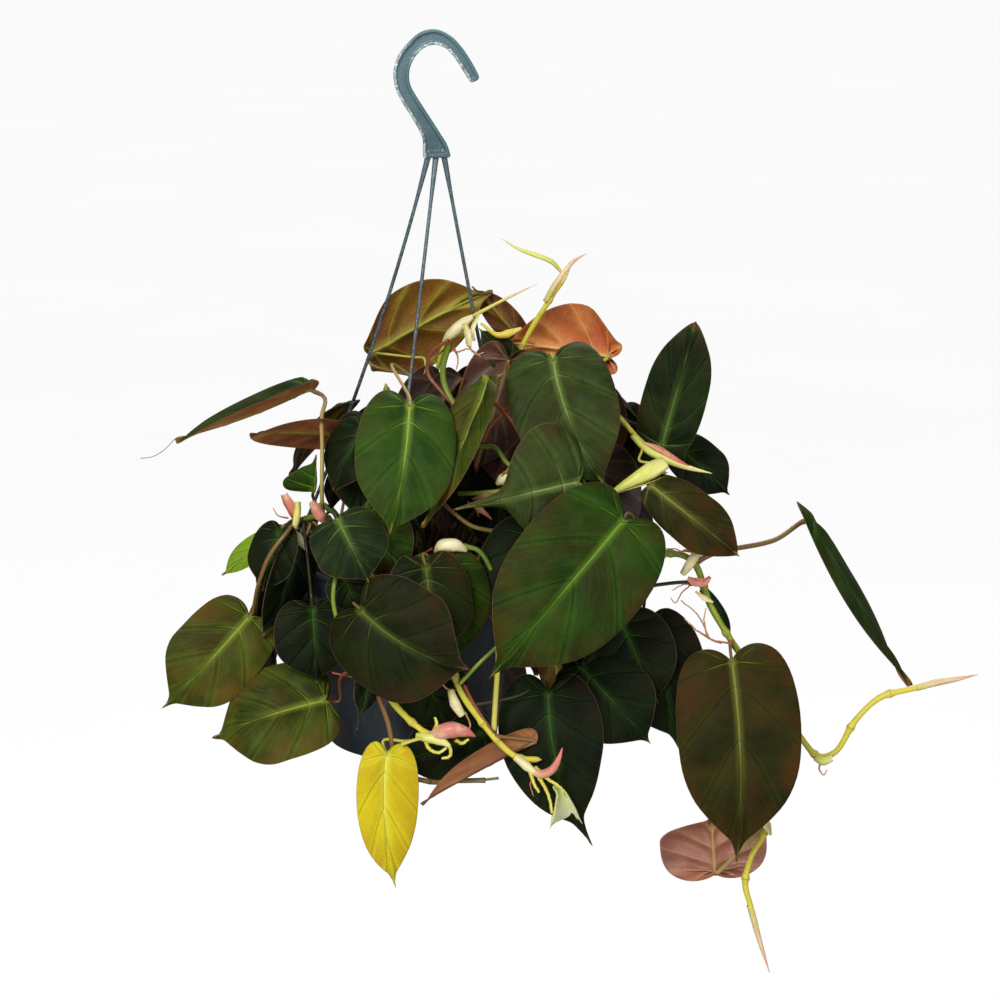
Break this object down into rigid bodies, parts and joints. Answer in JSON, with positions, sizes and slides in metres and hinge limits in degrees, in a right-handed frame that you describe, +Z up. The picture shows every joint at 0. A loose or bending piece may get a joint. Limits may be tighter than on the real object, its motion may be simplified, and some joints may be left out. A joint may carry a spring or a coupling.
{
  "type": "potted velvet leaf philodendron",
  "caption": "Trailing velvet-leaved philodendron with heart-shaped leaves, in a tapered plastic hanging pot on a three-strand hanger with a moulded hook.",
  "frame": {"origin": "the point on the underside of the hook's arch that rests on the rod or bracket it hangs from", "axes": "+Z up, -Y towards the front of the plant that faces the viewer, +X to the viewer's right"},
  "size_m": [0.4985, 0.2389, 0.5835],
  "materials": {
    "pot_plastic": "semi-matte injection-moulded plastic, anthracite blue",
    "hanger_plastic": "satin slate-green plastic",
    "potting_soil": "dark damp peat with bark crumbs",
    "stem_green": "smooth green to yellow-green living stem",
    "leaf_green": "velvety deep green leaf with yellow-green veins",
    "leaf_dark": "velvety near-black green leaf",
    "leaf_olive": "velvety bronze olive leaf",
    "leaf_copper": "smooth coppery leaf underside",
    "leaf_mauve": "smooth mauve leaf underside",
    "leaf_yellow": "fading yellow leaf",
    "leaf_lime": "young lime-green leaf"
  },
  "bodies": {
    "root": {"pot": "pot_plastic", "soil": "potting_soil", "hook": "hanger_plastic", "strand_left": "hanger_plastic", "strand_front": "hanger_plastic", "strand_right": "hanger_plastic", "stem_left": "stem_green", "stem_front_left": "stem_green", "stem_front": "stem_green", "stem_right": "stem_green", "stem_low_right": "stem_green", "stem_top": "stem_green", "stem_top_mid": "stem_green", "stem_top_right": "stem_green", "stem_back": "stem_green", "leaf_front_round": "leaf_green", "leaf_centre_top": "leaf_green", "leaf_centre_pointed": "leaf_green", "leaf_front_large": "leaf_green", "leaf_centre_folded": "leaf_olive", "leaf_left_high": "leaf_green", "leaf_left_copper": "leaf_copper", "leaf_behind_round": "leaf_dark", "leaf_rim_round": "leaf_dark", "leaf_rim_behind": "leaf_green", "leaf_rim_olive": "leaf_olive", "leaf_rim_dark": "leaf_dark", "leaf_front_dark": "leaf_dark", "leaf_left_olive": "leaf_olive", "leaf_left_low": "leaf_olive", "leaf_left_dark": "leaf_dark", "leaf_left_lime": "leaf_lime", "leaf_left_narrow": "leaf_dark", "leaf_left_hanging": "leaf_dark", "leaf_bottom_dark": "leaf_dark", "leaf_low_teal": "leaf_dark", "leaf_low_behind": "leaf_dark", "leaf_low_right": "leaf_dark", "leaf_low_middle": "leaf_dark", "leaf_right_large": "leaf_olive", "leaf_low_mauve": "leaf_mauve", "leaf_far_right": "leaf_green", "leaf_upright": "leaf_green", "leaf_right_hooked": "leaf_dark", "leaf_right_mid": "leaf_olive", "leaf_back_olive": "leaf_olive", "leaf_top_copper": "leaf_copper", "leaf_crown_mauve": "leaf_mauve", "leaf_crown_brown": "leaf_mauve", "leaf_centre_teal": "leaf_dark", "leaf_yellow": "leaf_yellow", "leaf_copper_folded": "leaf_copper", "leaf_under_front": "leaf_dark", "leaf_back_high": "leaf_green", "leaf_back_round": "leaf_green", "leaf_back_right": "leaf_green", "leaf_back_side": "leaf_dark", "leaf_back_low": "leaf_dark", "leaf_back_trailing": "leaf_olive", "leaf_back_left": "leaf_olive"}
  },
  "joints": []
}
